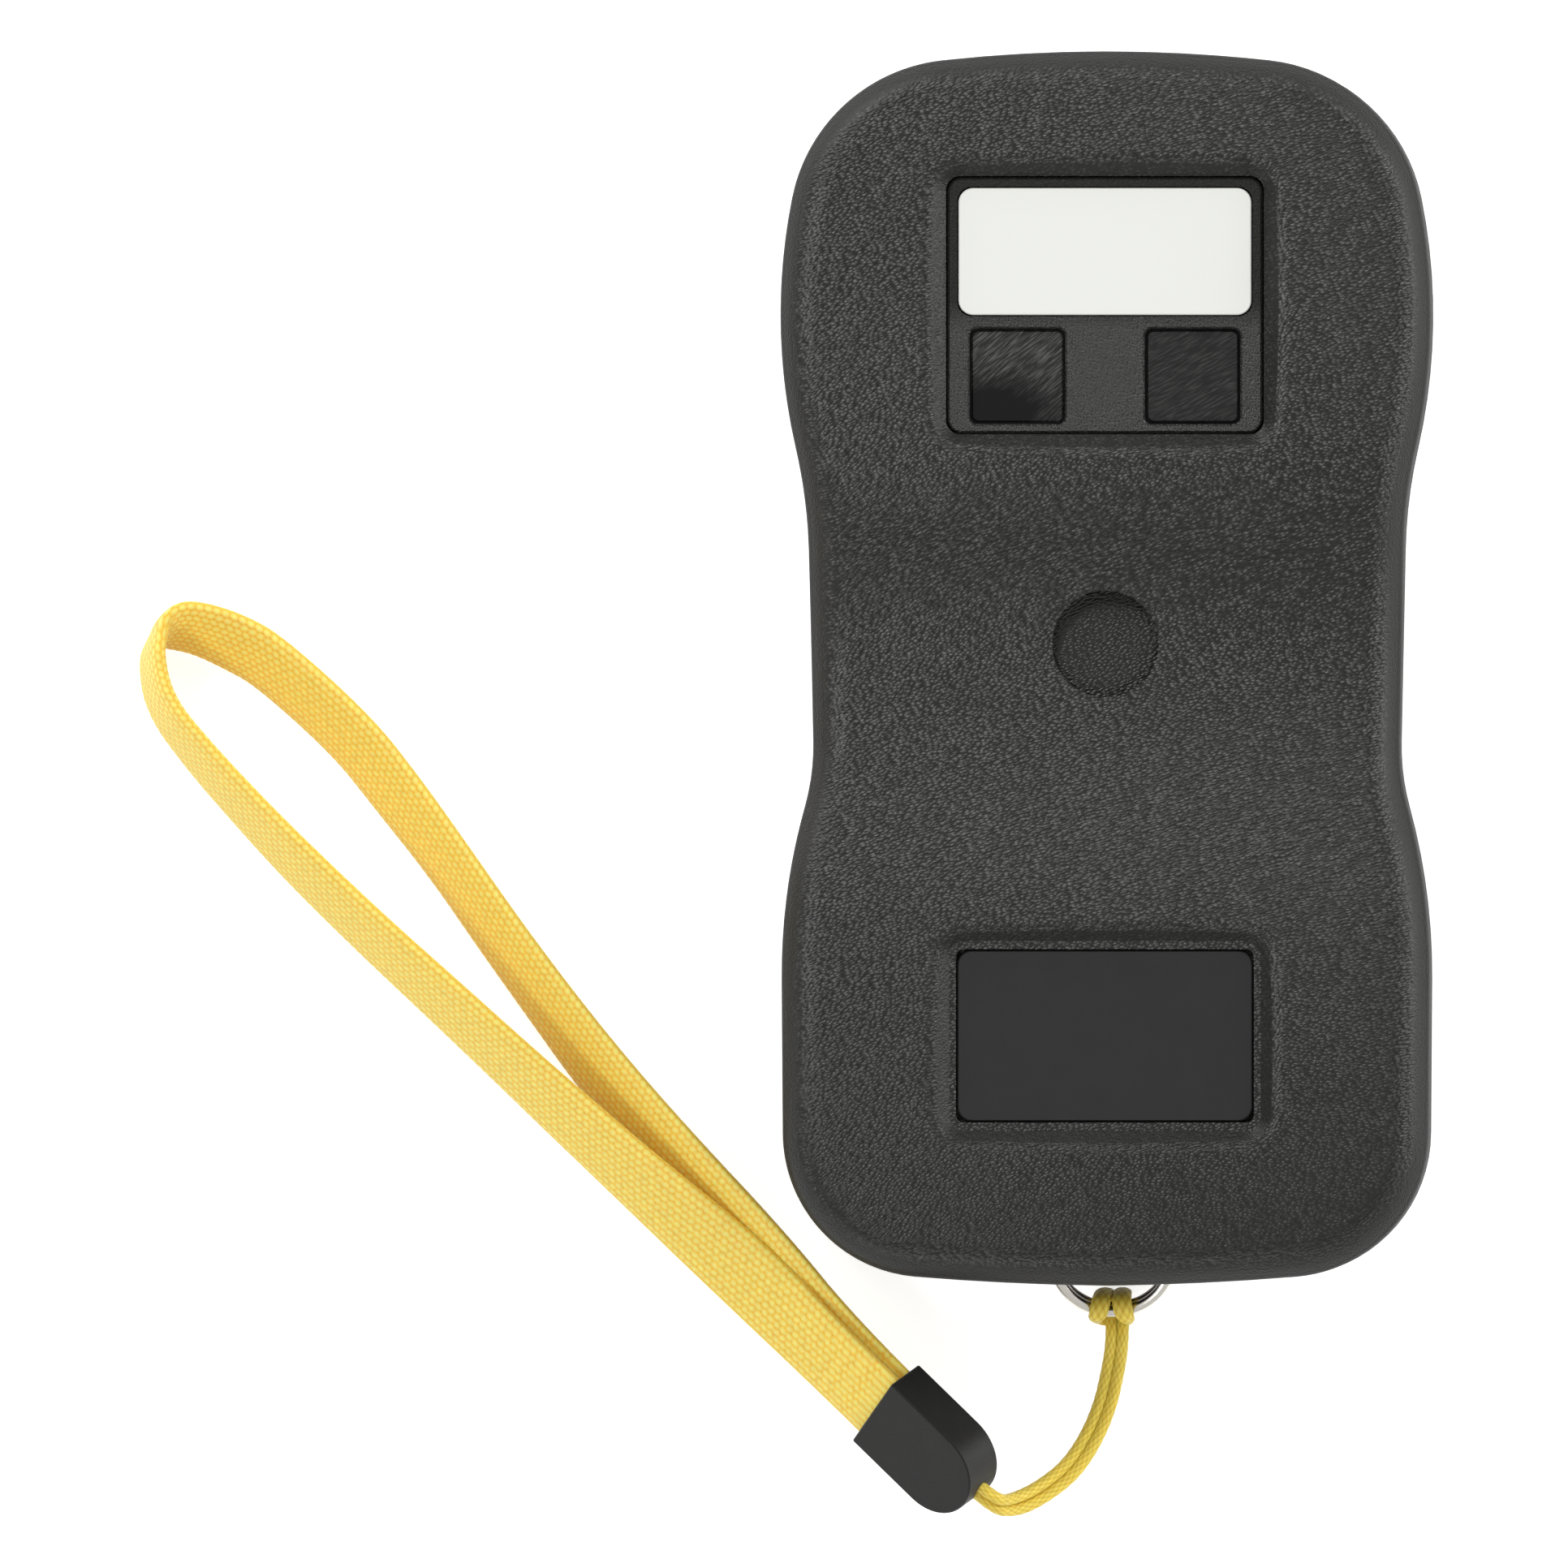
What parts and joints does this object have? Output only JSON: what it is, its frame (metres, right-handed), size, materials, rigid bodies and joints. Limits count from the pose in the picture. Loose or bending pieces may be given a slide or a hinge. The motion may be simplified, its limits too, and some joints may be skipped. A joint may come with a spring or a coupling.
{
  "type": "industrial radio remote",
  "caption": "Handheld radio remote with two push keys, a waisted case, a battery cover, a split ring and a wrist strap on a cord.",
  "frame": {"origin": "on the flat back face, under the middle of the waist", "axes": "+Z out of the face with the keys, +Y along the case to the key end, +X to the right"},
  "size_m": [0.1436, 0.1622, 0.0258],
  "materials": {
    "case_plastic": "leather grain",
    "panel_plastic": "fine grain",
    "key_plastic": "gloss",
    "white_plate": "satin",
    "black_plate": "satin",
    "silicone": "matte",
    "webbing": "woven",
    "cord": "braided",
    "nickel": "bright",
    "zinc_steel": "plain",
    "brass": "plain",
    "board": "solder mask",
    "chip_plastic": "matte",
    "cell_wrap": "gloss"
  },
  "bodies": {
    "remote": {"front_housing": "case_plastic", "rear_housing": "case_plastic", "battery_cover": "case_plastic", "front_panel": "panel_plastic", "legend_plate": "white_plate", "name_plate": "black_plate", "key_mat": "silicone", "left_key_web": "silicone", "right_key_web": "silicone", "housing_seal": "silicone", "cover_seal": "silicone", "left_switch": "chip_plastic", "right_switch": "chip_plastic", "circuit_board": "board", "radio_module": "board", "shield_can": "zinc_steel", "control_chip": "chip_plastic", "antenna": "brass", "board_screws": "zinc_steel", "housing_screws": "zinc_steel", "housing_inserts": "brass", "cover_screws": "zinc_steel", "cover_inserts": "brass", "battery_cells": "cell_wrap", "battery_contacts": "nickel", "strap_cord": "cord", "strap_clamp": "case_plastic", "wrist_strap": "webbing"},
    "left_key": {"left_key": "key_plastic", "left_switch_plunger": "chip_plastic"},
    "right_key": {"right_key": "key_plastic", "right_switch_plunger": "chip_plastic"},
    "ring": {"split_ring": "nickel"}
  },
  "joints": [
    {"name": "left_key_press", "type": "slide", "parent": "remote", "child": "left_key", "axis": [0, 0, -1], "range_m": [0, 0.0008], "stiffness_N_per_m": 2000, "springref_m": -0.0004, "deforming": ["left_key_web"]},
    {"name": "right_key_press", "type": "slide", "parent": "remote", "child": "right_key", "axis": [0, 0, -1], "range_m": [0, 0.0008], "stiffness_N_per_m": 2000, "springref_m": -0.0004, "deforming": ["right_key_web"]},
    {"name": "ring_swing", "type": "hinge", "parent": "remote", "child": "ring", "pos_m": [0, -0.05965, 0.0091], "axis": [-1, 0, 0], "range_deg": [-75, 28], "deforming": ["strap_cord"]}
  ]
}
